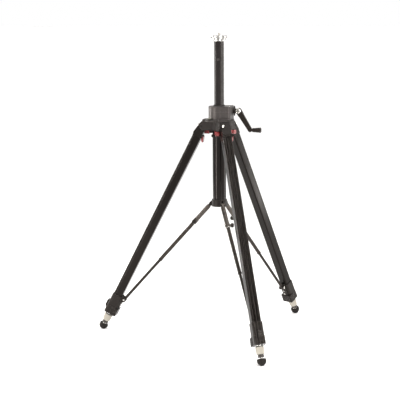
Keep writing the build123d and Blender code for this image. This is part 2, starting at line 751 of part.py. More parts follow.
    # brace sleeve with its eye and end clamp
    with BuildPart() as sleeve:
        with BuildSketch(brace_plane(k, 12)):
            Circle(8.4)
        extrude(amount=90)
        with BuildSketch(brace_plane(k, 84)):
            Circle(9.6)
        extrude(amount=18)
        with BuildSketch(brace_side(k)):
            Circle(5.6)
            with Locations((0, 8)):
                Rectangle(11.2, 16)
        extrude(amount=4.3, both=True)
        with BuildSketch(brace_side(k, 9.0)):
            with Locations((0, 93)):
                Circle(4.6)
        extrude(amount=4.0)
        with BuildSketch(brace_plane(k, 22)):
            Circle(7.5)
        extrude(amount=90, mode=Mode.SUBTRACT)
        with BuildSketch(brace_side(k)):
            Circle(2.56)
        extrude(amount=10, both=True, mode=Mode.SUBTRACT)
    keep(sleeve, tag + "brace_sleeve")

    with BuildPart() as bmid:
        with BuildSketch(brace_plane(k, 62)):
            Circle(7.15)
            Circle(6.0, mode=Mode.SUBTRACT)
        extrude(amount=238)
    keep(bmid, tag + "brace_mid_tube")

    with BuildPart() as rod:
        with BuildSketch(brace_plane(k, 205)):
            Circle(5.65)
        extrude(amount=BRACE_L - 205 - 9)
        with BuildSketch(brace_side(k)):
            with Locations((0, BRACE_L)):
                Circle(6.2)
            with Locations((0, BRACE_L - 8)):
                Rectangle(9.6, 16)
        extrude(amount=4.3, both=True)
        # pin boss through the eye
        with BuildSketch(brace_side(k)):
            with Locations((0, BRACE_L)):
                Circle(3.4)
        extrude(amount=5.7, both=True)
    keep(rod, tag + "brace_rod")

    # lock knob with its flats
    with BuildPart() as knob:
        with BuildSketch(brace_side(k, 13.4)):
            with Locations((0, 93)):
                Circle(8.4)
                with PolarLocations(9.4, 7):
                    Circle(1.7, mode=Mode.SUBTRACT)
        extrude(amount=10)
        chamfer(knob.faces().sort_by(Axis(brace_side(k, 0).origin, brace_side(k, 0).z_dir))[-1].edges(), 0.6)
    keep(knob, tag + "brace_knob")
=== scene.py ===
import json
import math
import random

import bmesh
import bpy
from mathutils import Matrix, Vector


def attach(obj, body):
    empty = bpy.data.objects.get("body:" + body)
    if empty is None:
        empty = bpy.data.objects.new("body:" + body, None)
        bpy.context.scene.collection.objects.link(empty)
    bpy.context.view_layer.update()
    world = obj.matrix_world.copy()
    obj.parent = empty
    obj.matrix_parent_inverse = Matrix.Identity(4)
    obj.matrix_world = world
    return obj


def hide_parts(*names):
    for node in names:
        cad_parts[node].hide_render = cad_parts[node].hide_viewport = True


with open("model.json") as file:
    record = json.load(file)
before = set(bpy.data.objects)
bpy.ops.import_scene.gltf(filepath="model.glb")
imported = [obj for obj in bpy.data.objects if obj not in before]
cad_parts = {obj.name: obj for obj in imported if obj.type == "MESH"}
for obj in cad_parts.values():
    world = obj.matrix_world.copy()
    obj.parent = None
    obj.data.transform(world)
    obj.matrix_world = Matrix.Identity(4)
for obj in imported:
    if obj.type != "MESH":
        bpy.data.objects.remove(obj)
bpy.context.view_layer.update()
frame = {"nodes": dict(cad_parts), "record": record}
nodes = frame["nodes"]
rng = random.Random(7)

MM = 0.001
scene = bpy.context.scene

# ------------------------------------------------------------ the CAD frame, in mm
TH = math.radians(27.0)
HINGE_R = 64.0
FOOT_R, FOOT_C = 17.0, 885.5
HINGE_Z = FOOT_R + FOOT_C * math.cos(TH)
COL_TOP, COL_BOT = 1123.0, 513.0
DECK_TOP, SPLIT_Z, HOUSE_TOP = 832.0, 861.5, 881.5
PINION_Y = 33.4 / 2 - 2.0 + 14.0
BRACE_R, BRACE_Z = 33.0, 510.0
PR = HINGE_R + 754.0 * math.sin(TH) - 29.0 * math.cos(TH)
PZ = HINGE_Z - 754.0 * math.cos(TH) - 29.0 * math.sin(TH)
BRACE_L = math.hypot(PR - BRACE_R, BRACE_Z - PZ)
BETA = math.atan2(PR - BRACE_R, BRACE_Z - PZ)
AZ = (180.0, -60.0, 60.0)
UP = Vector((0, 0, 1))


def polar(k):
    a = math.radians(AZ[k])
    return Vector((math.cos(a), math.sin(a), 0)), Vector((-math.sin(a), math.cos(a), 0))


def frame_matrix(origin_mm, x, y, z):
    """A frame in metres whose axes are x, y and z, at origin_mm."""
    m = Matrix((x, y, z)).transposed().to_4x4()
    m.translation = Vector(origin_mm) * MM
    return m


def leg_frame(k):
    """x outward, y minus tangential, z down leg k, at its hinge."""
    er, et = polar(k)
    d = er * math.sin(TH) - UP * math.cos(TH)
    n = er * math.cos(TH) + UP * math.sin(TH)
    return frame_matrix(er * HINGE_R + UP * HINGE_Z, n, -et, d)


def brace_frame(k):
    er, et = polar(k)
    b = er * math.sin(BETA) - UP * math.cos(BETA)
    m = er * math.cos(BETA) + UP * math.sin(BETA)
    return frame_matrix(er * BRACE_R + UP * BRACE_Z, m, -et, b)


def arm_frame(k):
    """x radial, y tangential, z up, at the origin."""
    er, et = polar(k)
    return frame_matrix((0, 0, 0), er, et, UP)


def axis_frame(origin_mm, axis, hint=UP):
    z = Vector(axis).normalized()
    h = Vector(hint)
    if abs(z.dot(h)) > 0.95:
        h = Vector((1, 0, 0))
    x = h.cross(z).normalized()
    return frame_matrix(origin_mm, x, z.cross(x), z)


# ------------------------------------------------------------------------ materials
class Nodes:
    def __init__(self, name):
        self.m = bpy.data.materials.new(name)
        self.m.use_nodes = True
        self.t = self.m.node_tree
        for n in list(self.t.nodes):
            self.t.nodes.remove(n)
        self.out = self.t.nodes.new("ShaderNodeOutputMaterial")
        self.b = self.t.nodes.new("ShaderNodeBsdfPrincipled")
        self.link(self.b.outputs[0], self.out.inputs[0])

    def link(self, a, b):
        self.t.links.new(a, b)

    def add(self, kind, **values):
        n = self.t.nodes.new(kind)
        for k, v in values.items():
            setattr(n, k, v)
        return n

    def math(self, op, a, b=None, clamp=False):
        n = self.add("ShaderNodeMath", operation=op, use_clamp=clamp)
        for i, v in enumerate((a, b)):
            if v is None:
                continue
            if isinstance(v, (int, float)):
                n.inputs[i].default_value = v
            else:
                self.link(v, n.inputs[i])
        return n.outputs[0]

    def noise(self, coords, scale, detail=3.0, rough=0.55):
        n = self.add("ShaderNodeTexNoise")
        n.inputs["Scale"].default_value = scale
        n.inputs["Detail"].default_value = detail
        n.inputs["Roughness"].default_value = rough
        self.link(coords, n.inputs["Vector"])
        return n.outputs["Fac"]

    def ramp(self, fac, low, high, c0, c1):
        r = self.add("ShaderNodeValToRGB")
        r.color_ramp.elements[0].position = low
        r.color_ramp.elements[1].position = high
        r.color_ramp.elements[0].color = (*c0, 1)
        r.color_ramp.elements[1].color = (*c1, 1)
        self.link(fac, r.inputs[0])
        return r.outputs[0]

    def mix(self, fac, a, b):
        n = self.add("ShaderNodeMix", data_type="RGBA")
        self.link(fac, n.inputs[0])
        for i, v in ((6, a), (7, b)):
            if isinstance(v, tuple):
                n.inputs[i].default_value = (*v, 1)
            else:
                self.link(v, n.inputs[i])
        return n.outputs[2]

    def spread(self, fac, low, high, to_low, to_high):
        n = self.add("ShaderNodeMapRange")
        self.link(fac, n.inputs[0])
        for i, v in enumerate((low, high, to_low, to_high)):
            n.inputs[i + 1].default_value = v
        return n.outputs[0]


def surface(name, base, vary=0.2, rough=0.35, rough_vary=0.08, metallic=0.0, coat=0.0, coat_rough=0.08, spec=0.5, grain=1400.0,
            bump=0.12, bump_mm=0.02, wear=None, wear_amount=0.5, soft_mm=0.5, blotch=22.0, streak=None):
    """Paint, anodising, casting or moulding: fine grain, broad blotches, worn edges and soft corners."""
    s = Nodes(name)
    tc = s.add("ShaderNodeTexCoord").outputs["Object"]
    coords = tc
    if streak is not None:
        mp = s.add("ShaderNodeMapping")
        mp.inputs["Scale"].default_value = streak
        s.link(tc, mp.inputs[0])
        coords = mp.outputs[0]
    fine = s.noise(coords, grain, 2.0)
    broad = s.noise(tc, blotch, 4.0, 0.6)
    lo = tuple(c * (1 - vary) for c in base)
    hi = tuple(min(1, c * (1 + vary)) for c in base)
    colour = s.ramp(s.math("ADD", s.math("MULTIPLY", fine, 0.45), s.math("MULTIPLY", broad, 0.55)), 0.3, 0.7, lo, hi)
    if wear is not None:
        # an edge is where the rounded normal turns away from the face's own
        round_edge = s.add("ShaderNodeBevel", samples=4)
        round_edge.inputs["Radius"].default_value = 0.9 * MM
        geo = s.add("ShaderNodeNewGeometry")
        turn = s.add("ShaderNodeVectorMath", operation="DOT_PRODUCT")
        s.link(round_edge.outputs[0], turn.inputs[0])
        s.link(geo.outputs["Normal"], turn.inputs[1])
        edge = s.spread(turn.outputs["Value"], 0.90, 0.995, 1.0, 0.0)
        broken = s.spread(s.noise(tc, 150.0, 3.0), 0.46, 0.64, 0.0, 1.0)
        mask = s.math("MULTIPLY", s.math("MULTIPLY", edge, broken), wear_amount, clamp=True)
        colour = s.mix(mask, colour, wear)
    s.link(colour, s.b.inputs["Base Color"])
    s.link(s.spread(broad, 0.3, 0.7, max(0.02, rough - rough_vary), min(1, rough + rough_vary)), s.b.inputs["Roughness"])
    s.b.inputs["Metallic"].default_value = metallic
    s.b.inputs["Specular IOR Level"].default_value = spec
    s.b.inputs["Specular Tint"].default_value = (1.0, 0.90, 0.85, 1.0)
    s.b.inputs["Coat Weight"].default_value = coat
    s.b.inputs["Coat Roughness"].default_value = coat_rough
    bp = s.add("ShaderNodeBump")
    bp.inputs["Strength"].default_value = bump
    bp.inputs["Distance"].default_value = bump_mm * MM
    s.link(fine, bp.inputs["Height"])
    if soft_mm:
        bv = s.add("ShaderNodeBevel", samples=4)
        bv.inputs["Radius"].default_value = soft_mm * MM
        s.link(bv.outputs[0], bp.inputs["Normal"])
    s.link(bp.outputs[0], s.b.inputs["Normal"])
    return s.m


def turned(name, base, axis_matrix=None, rough=0.22, grooves=2600.0, metallic=1.0, vary=0.12):
    """Turned or drawn bright metal, with fine lines round or along it and light smudges."""
    s = Nodes(name)
    tc = s.add("ShaderNodeTexCoord").outputs["Object"]
    mp = s.add("ShaderNodeMapping")
    if axis_matrix is not None:
        mp.inputs["Rotation"].default_value = axis_matrix.to_3x3().inverted().to_euler()
    mp.inputs["Scale"].default_value = (0.05, 0.05, 1.0)
    s.link(tc, mp.inputs[0])
    lines = s.noise(mp.outputs[0], grooves, 2.0, 0.5)
    smudge = s.noise(tc, 60.0, 4.0, 0.6)
    colour = s.ramp(s.math("ADD", s.math("MULTIPLY", lines, 0.5), s.math("MULTIPLY", smudge, 0.5)), 0.3, 0.7,
                    tuple(c * (1 - vary) for c in base), tuple(min(1, c * (1 + vary)) for c in base))
    s.link(colour, s.b.inputs["Base Color"])
    s.b.inputs["Metallic"].default_value = metallic
    s.link(s.spread(smudge, 0.3, 0.7, rough * 0.7, rough * 1.4), s.b.inputs["Roughness"])
    bp = s.add("ShaderNodeBump")
    bp.inputs["Strength"].default_value = 0.12
    bp.inputs["Distance"].default_value = 0.02 * MM
    s.link(lines, bp.inputs["Height"])
    bv = s.add("ShaderNodeBevel", samples=4)
    bv.inputs["Radius"].default_value = 0.3 * MM
    s.link(bv.outputs[0], bp.inputs["Normal"])
    s.link(bp.outputs[0], s.b.inputs["Normal"])
    return s.m


BARE = (0.42, 0.40, 0.37)
MAT = {
    "casting_black": surface("casting_black", (0.018, 0.016, 0.015), rough=0.36, grain=1100, bump=0.35, bump_mm=0.05, wear=BARE, wear_amount=0.35, soft_mm=0.9, spec=0.2),
    "housing_dark": surface("housing_dark", (0.036, 0.032, 0.031), rough=0.34, grain=1300, bump=0.3, bump_mm=0.04, wear=BARE, wear_amount=0.25, soft_mm=0.9, spec=0.35),
    "bush_black": surface("bush_black", (0.012, 0.011, 0.010), rough=0.45, grain=1600, bump=0.2, soft_mm=0.4, spec=0.2),
    "column_dark": surface("column_dark", (0.010, 0.0088, 0.0088), rough=0.2, rough_vary=0.03, grain=2200, bump=0.1, wear=BARE, wear_amount=0.2, soft_mm=1.6, streak=(1, 1, 0.04), spec=0.26),
    "plug_black": surface("plug_black", (0.012, 0.012, 0.012), rough=0.5, bump=0.3, soft_mm=0.4),
    "disc_silver": turned("disc_silver", (0.50, 0.49, 0.47), rough=0.26),
    "stud_steel": turned("stud_steel", (0.62, 0.60, 0.56), rough=0.28),
    "shaft_steel": turned("shaft_steel", (0.50, 0.50, 0.50), rough=0.25),
    "knob_black": surface("knob_black", (0.008, 0.007, 0.006), rough=0.42, grain=1300, bump=0.25, soft_mm=0.7, wear=(0.12, 0.11, 0.10), wear_amount=0.3, spec=0.2),
    "crank_black": surface("crank_black", (0.012, 0.0095, 0.008), rough=0.34, grain=1200, bump=0.2, wear=BARE, wear_amount=0.4, soft_mm=0.9, spec=0.2),
    "screw_chrome": turned("screw_chrome", (0.86, 0.84, 0.78), rough=0.1),
    "grip_black": surface("grip_black", (0.012, 0.0095, 0.008), rough=0.48, grain=900, bump=0.3, bump_mm=0.04, soft_mm=0.5, spec=0.2),
    "guide_gloss": surface("guide_gloss", (0.006, 0.005, 0.0048), rough=0.12, rough_vary=0.02, grain=2400, bump=0.05, coat=0.0, soft_mm=0.5, streak=(1, 1, 0.05), spec=0.18),
    "collar_black": surface("collar_black", (0.009, 0.008, 0.0075), rough=0.35, grain=1200, bump=0.25, wear=BARE, wear_amount=0.3, soft_mm=0.7, spec=0.18),
    "bolt_chrome": turned("bolt_chrome", (0.70, 0.69, 0.66), rough=0.16),
    "level_glass": surface("level_glass", (0.34, 0.40, 0.16), rough=0.1, grain=300, bump=0.02, coat=0.8, soft_mm=0.3),
    "fitting_gloss": surface("fitting_gloss", (0.007, 0.0058, 0.005), rough=0.16, rough_vary=0.03, grain=1300, bump=0.16, coat=0.0, wear=BARE, wear_amount=0.3, soft_mm=0.9, spec=0.15),
    "tube_gloss": surface("tube_gloss", (0.0050, 0.0040, 0.0034), rough=0.13, rough_vary=0.02, grain=1900, bump=0.07, coat=0.0, coat_rough=0.12, wear=(0.2, 0.19, 0.18), wear_amount=0.25, soft_mm=0.5, spec=0.14),
    "clamp_black": surface("clamp_black", (0.010, 0.0085, 0.0075), rough=0.32, grain=1100, bump=0.28, bump_mm=0.04, coat=0.0, wear=BARE, wear_amount=0.4, soft_mm=0.9, spec=0.18),
    "mid_tube": surface("mid_tube", (0.55, 0.54, 0.52), rough=0.28, metallic=1.0, grain=2200, bump=0.08, soft_mm=0.4),
    "low_tube": surface("low_tube", (0.36, 0.35, 0.34), rough=0.3, metallic=1.0, grain=2200, bump=0.08, soft_mm=0.4),
    "ferrule_grey": surface("ferrule_grey", (0.34, 0.32, 0.275), rough=0.5, grain=1200, bump=0.3, vary=0.12, soft_mm=0.4, wear=(0.12, 0.11, 0.10), wear_amount=0.2),
    "spindle": surface("spindle", (0.018, 0.016, 0.015), rough=0.35, grain=1300, bump=0.2, wear=BARE, wear_amount=0.3, soft_mm=0.4),
    "foot_rubber": surface("foot_rubber", (0.008, 0.007, 0.0065), rough=0.55, rough_vary=0.12, grain=900, bump=0.4, bump_mm=0.06, vary=0.3, soft_mm=0.5, wear=(0.10, 0.095, 0.09), wear_amount=0.35, spec=0.18),
    "trigger_red": surface("trigger_red", (0.17, 0.013, 0.016), rough=0.26, rough_vary=0.06, grain=1000, bump=0.12, coat=0.3, vary=0.14, soft_mm=0.9, wear=(0.62, 0.22, 0.2), wear_amount=0.35),
    "sleeve_dark": surface("sleeve_dark", (0.06, 0.052, 0.046), rough=0.3, metallic=0.5, grain=1800, bump=0.12, wear=BARE, wear_amount=0.3, soft_mm=0.5, spec=0.3),
    "brace_dark": surface("brace_dark", (0.020, 0.016, 0.0135), rough=0.32, metallic=0.2, grain=1900, bump=0.1, wear=BARE, wear_amount=0.2, soft_mm=0.4, spec=0.25),
    "rod_dark": surface("rod_dark", (0.014, 0.0115, 0.010), rough=0.34, grain=1900, bump=0.1, wear=BARE, wear_amount=0.2, soft_mm=0.4, spec=0.22),
}
seam_black = surface("seam_black", (0.004, 0.004, 0.004), rough=0.6, bump=0.1, soft_mm=0)
screw_steel = turned("screw_steel", (0.58, 0.56, 0.53), rough=0.22)
socket_dark = surface("socket_dark", (0.010, 0.010, 0.010), rough=0.5, bump=0.1, soft_mm=0)
stem_steel = turned("stem_steel", (0.66, 0.65, 0.62), rough=0.2)
ring_silver = turned("ring_silver", (0.66, 0.65, 0.63), rough=0.24)
fluid_green = surface("fluid_green", (0.36, 0.44, 0.14), rough=0.08, grain=300, bump=0.01, coat=1.0, soft_mm=0)
bubble_pale = surface("bubble_pale", (0.72, 0.76, 0.5), rough=0.05, grain=300, bump=0.01, coat=1.0, soft_mm=0)
screw_centre = turned("screw_centre", (0.30, 0.29, 0.27), rough=0.3)

for sub in frame["record"]["subparts"]:
    o = nodes[sub["node"]]
    m = MAT[sub["material_slot"]]
    o.data.materials.clear()
    o.data.materials.append(m)


# -------------------------------------------------------------------- mesh tools
def finish_mesh(name, bm, matrix, mat, body, sharp=32.0):
    bmesh.ops.remove_doubles(bm, verts=bm.verts, dist=1e-7)
    bmesh.ops.recalc_face_normals(bm, faces=bm.faces)
    for f in bm.faces:
        f.smooth = True
    limit = math.radians(sharp)
    for e in bm.edges:
        if len(e.link_faces) == 2 and e.calc_face_angle(0.0) > limit:
            e.smooth = False
    me = bpy.data.meshes.new(name)
    bm.to_mesh(me)
    bm.free()
    me.transform(matrix)
    o = bpy.data.objects.new(name, me)
    scene.collection.objects.link(o)
    me.materials.append(mat)
    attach(o, body)
    return o


def lathe(name, matrix, profile, mat, body, seg=56, closed=True, wave=None, sharp=32.0):
    """Turns (radius, height) points in mm about the matrix's z axis. wave(angle, r, h) may push a point in or out."""
    bm = bmesh.new()
    rings = []
    for r, h in profile:
        if r < 1e-6:
            rings.append([bm.verts.new((0, 0, h * MM))])
            continue
        ring = []
        for i in range(seg):
            a = 2 * math.pi * i / seg
            rr = r + (wave(a, r, h) if wave else 0.0)
            ring.append(bm.verts.new((rr * math.cos(a) * MM, rr * math.sin(a) * MM, h * MM)))
        rings.append(ring)
    pairs = list(zip(rings, rings[1:]))
    if closed and len(rings[0]) > 1 and len(rings[-1]) > 1:
        pairs.append((rings[-1], rings[0]))
    for a, b in pairs:
        for i in range(seg):
            j = (i + 1) % seg
            if len(a) == 1 and len(b) == 1:
                continue
            if len(a) == 1:
                bm.faces.new((a[0], b[i], b[j]))
            elif len(b) == 1:
                bm.faces.new((a[i], b[0], a[j]))
            else:
                bm.faces.new((a[i], b[i], b[j], a[j]))
    return finish_mesh(name, bm, matrix, mat, body, sharp)


def prism(name, matrix, outline, h0, h1, mat, body, bevel=0.0, segments=3, sharp=40.0):
    """Extrudes an outline (mm, in the matrix's xy) from h0 to h1, with rounded edges."""
    bm = bmesh.new()
    low = [bm.verts.new((x * MM, y * MM, h0 * MM)) for x, y in outline]
    high = [bm.verts.new((x * MM, y * MM, h1 * MM)) for x, y in outline]
    bm.faces.new(list(reversed(low)))
    bm.faces.new(high)
    n = len(outline)
    for i in range(n):
        j = (i + 1) % n
        bm.faces.new((low[i], low[j], high[j], high[i]))
    bmesh.ops.recalc_face_normals(bm, faces=bm.faces)
    if bevel:
        edges = [e for e in bm.edges if e.calc_face_angle(0.0) > math.radians(25)]
        bmesh.ops.bevel(bm, geom=edges, offset=bevel * MM, segments=segments, profile=0.5, affect="EDGES", clamp_overlap=True)
    return finish_mesh(name, bm, matrix, mat, body, sharp)


def socket_screw(name, matrix, r, h, body, mat=None, socket=0.52, domed=True):
    """A socket head, its underside at the matrix's origin, with a real hexagonal recess."""
    mat = mat or screw_steel
    seg = 48
    bm = bmesh.new()
    hex_r, depth = r * socket, h * 0.62

    def hexagon(a):
        s = (a % (math.pi / 3)) - math.pi / 6
        return hex_r * math.cos(math.pi / 6) / math.cos(s)
    prof = [(r * 0.98, 0.0), (r, 0.12 * h), (r, h * 0.72), (r * 0.93, h * 0.93), (r * 0.82, h)]
    rings = []
    for rr, hh in prof:
        rings.append([bm.verts.new((rr * math.cos(2 * math.pi * i / seg) * MM, rr * math.sin(2 * math.pi * i / seg) * MM, hh * MM)) for i in range(seg)])
    for grow, hh in ((1.12, h), (1.0, h * 0.94), (1.0, h - depth)):
        rings.append([bm.verts.new((hexagon(2 * math.pi * i / seg) * grow * math.cos(2 * math.pi * i / seg) * MM,
                                    hexagon(2 * math.pi * i / seg) * grow * math.sin(2 * math.pi * i / seg) * MM, hh * MM)) for i in range(seg)])
    for a, b in zip(rings, rings[1:]):
        for i in range(seg):
            j = (i + 1) % seg
            bm.faces.new((a[i], a[j], b[j], b[i]))
    bm.faces.new(rings[-1])
    bm.faces.new(list(reversed(rings[0])))
    return finish_mesh(name, bm, matrix, mat, body)


def at(matrix, x=0.0, y=0.0, z=0.0):
    return matrix @ Matrix.Translation(Vector((x, y, z)) * MM)


def turn_to(matrix, axis, origin_mm):
    """A frame at origin_mm (in the matrix's own mm) whose z is the matrix's own axis vector."""
    w = matrix.to_3x3() @ Vector(axis)
    p = matrix @ (Vector(origin_mm) * MM)
    return axis_frame(p / MM, w)


def thread(name, matrix, r_out, r_in, pitch, h0, h1, mat, body, seg=40, left=False):
    """A rod with a helical thread, closed at both ends."""
    bm = bmesh.new()
    turns = (h1 - h0) / pitch
    steps = int(turns * seg)
    cols = []
    prof = [(r_in, 0.0), (r_in, 0.12), (r_out, 0.42), (r_out, 0.55), (r_in, 0.88)]
    for i in range(steps + 1):
        a = 2 * math.pi * i / seg * (-1 if left else 1)
        z = h0 + pitch * i / seg
        col = []
        for r, f in prof:
            zz = min(max(z + (f - 0.5) * pitch, h0), h1)
            fade = min(1.0, (h1 - zz) / (0.5 * pitch) + 0.15, (zz - h0) / (0.5 * pitch) + 0.15)
            rr = r_in + (r - r_in) * max(0.0, fade)
            col.append(bm.verts.new((rr * math.cos(a) * MM, rr * math.sin(a) * MM, zz * MM)))
        cols.append(col)
    for a, b in zip(cols, cols[1:]):
        for i in range(len(prof) - 1):
            bm.faces.new((a[i], b[i], b[i + 1], a[i + 1]))
    o = finish_mesh(name, bm, matrix, mat, body, 50)
    lathe(name + "_core", matrix, [(0, h0), (r_in + 0.02, h0), (r_in + 0.02, h1 - 0.7), (r_in - 0.7, h1), (0, h1)], mat, body, seg=seg, closed=False)
    return o


# -------------------------------------------------------------------------- head
top = frame_matrix((0, 0, COL_TOP), Vector((1, 0, 0)), Vector((0, 1, 0)), UP)
stud = thread("head_stud_thread", top, 4.7, 4.05, 1.5875, 21.0, 31.0, MAT["stud_steel"], "column")
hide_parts("head_stud")

# -------------------------------------------------------------------------- level
lx, ly = 50 * math.cos(math.radians(-125)), 50 * math.sin(math.radians(-125))
lev = frame_matrix((lx, ly, DECK_TOP), Vector((1, 0, 0)), Vector((0, 1, 0)), UP)
rim = lathe("level_rim", lev, [(6.6, 0), (7.6, 0), (7.6, 4.6), (7.2, 5.1), (6.6, 5.1), (6.4, 4.6), (6.4, 0.4)], MAT["plug_black"], "base")
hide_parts("bubble_level")
lathe("level_vial", lev, [(0, 0.3), (6.35, 0.3), (6.35, 4.4), (5.6, 5.0), (3.0, 5.35), (0, 5.45)], fluid_green, "base", closed=False)
lathe("level_bubble", at(lev, 1.2, -0.6, 5.05), [(0, -0.2), (2.2, 0.0), (1.9, 0.32), (0, 0.42)], bubble_pale, "base", closed=False, seg=32)

# ------------------------------------------------------------------------- crank
gx, gz = 68.6 + 84.9 * math.sin(math.radians(31.8)), SPLIT_Z - 84.9 * math.cos(math.radians(31.8))
front = Vector((0, -1, 0))
scr = axis_frame((68.6, PINION_Y - 9.6, SPLIT_Z), front)
head = lathe("crank_pivot_head", scr, [(0, 0), (9.6, 0), (9.6, 1.6), (9.3, 2.9), (8.5, 3.9), (7.5, 4.3), (6.5, 4.2), (6.0, 3.6), (5.9, 2.6), (0, 2.4)],
             MAT["screw_chrome"], "crank_swing", closed=False)
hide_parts("crank_pivot_screw")
socket_screw("crank_pivot_centre", at(scr, 0, 0, 2.3), 5.4, 1.6, "crank_swing", screw_centre, 0.45)
lathe("crank_pivot_pin", scr, [(0, 0.5), (4.0, 0.5), (4.0, -22.6), (0, -22.6)], stem_steel, "crank_swing", closed=False)
nut = [(6.4 * math.cos(math.radians(60 * i)), 6.4 * math.sin(math.radians(60 * i))) for i in range(6)]
prism("crank_pivot_nut", scr, nut, -22.8, -19.1, screw_steel, "crank_swing", bevel=0.4)

grip_m = frame_matrix((gx + 8.4, PINION_Y, gz), Vector((0, 1, 0)), UP, Vector((1, 0, 0)))
prof = [(3.68, 0), (7.0, 0), (7.9, 0.8)]
for i in range(6):
    h = 2.4 + 4.3 * i
    r = 8.1 + 1.9 * (h / 29.0) ** 1.4
    prof += [(r, h), (r + 0.05, h + 2.5), (r - 0.6, h + 2.9), (r - 0.6, h + 3.8)]
prof += [(10.1, 28.3), (10.15, 29.6), (9.6, 31.8), (7.6, 33.3), (4.5, 33.9), (0, 33.98), (0, 26.0), (3.68, 26.0)]
grip = lathe("crank_grip_moulding", grip_m, prof, MAT["grip_black"], "crank_handle", seg=64)
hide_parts("crank_grip")

# star knob with rounded points
star_m = frame_matrix((51.6, PINION_Y, SPLIT_Z), Vector((0, 1, 0)), UP, Vector((1, 0, 0)))
bm = bmesh.new()
seg = 96
prof = [(0.0, 0.12), (0.3, 0.02), (0.6, 0.0), (3.0, 0.0), (3.3, 0.02), (3.6, 0.12)]


def star_r(a):
    return 14.6 + 4.2 * max(0.0, math.cos(4 * a)) ** 0.8 - 1.3 * max(0.0, -math.cos(4 * a))


inner = [[], []]
rings = []
for h, inset in prof:
    rings.append([bm.verts.new(((star_r(2 * math.pi * i / seg) - inset * 6) * math.cos(2 * math.pi * i / seg) * MM,
                                (star_r(2 * math.pi * i / seg) - inset * 6) * math.sin(2 * math.pi * i / seg) * MM, h * MM)) for i in range(seg)])
for h in (3.6, 0.0):
    rings.append([bm.verts.new((6.1 * math.cos(2 * math.pi * i / seg) * MM, 6.1 * math.sin(2 * math.pi * i / seg) * MM, h * MM)) for i in range(seg)])
rings.append(rings[0])
for a, b in zip(rings, rings[1:]):
    for i in range(seg):
        j = (i + 1) % seg
        bm.faces.new((a[i], a[j], b[j], b[i]))
star = finish_mesh("friction_star", bm, star_m, MAT["knob_black"], "drag_knob")
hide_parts("friction_knob")

# ------------------------------------------------------------- housing fasteners
for i, (x, y) in enumerate(((43, -31), (43, 39), (-29, -14), (-23, 21))):
    socket_screw(f"cap_screw_{i + 1}", frame_matrix((x, y, HOUSE_TOP - 1.7), Vector((1, 0, 0)), Vector((0, 1, 0)), UP), 3.4, 2.2, "base", screw_steel, 0.5)

# recess plug in the column
plug_m = axis_frame((0, -15.1, 1056), front)
prism("column_plug", plug_m, [(-4.2, -4.6), (4.2, -4.6), (4.9, -3.9), (4.9, 3.9), (4.2, 4.6), (-4.2, 4.6), (-4.9, 3.9), (-4.9, -3.9)], -0.3, 1.0, socket_dark, "column", bevel=0.35)

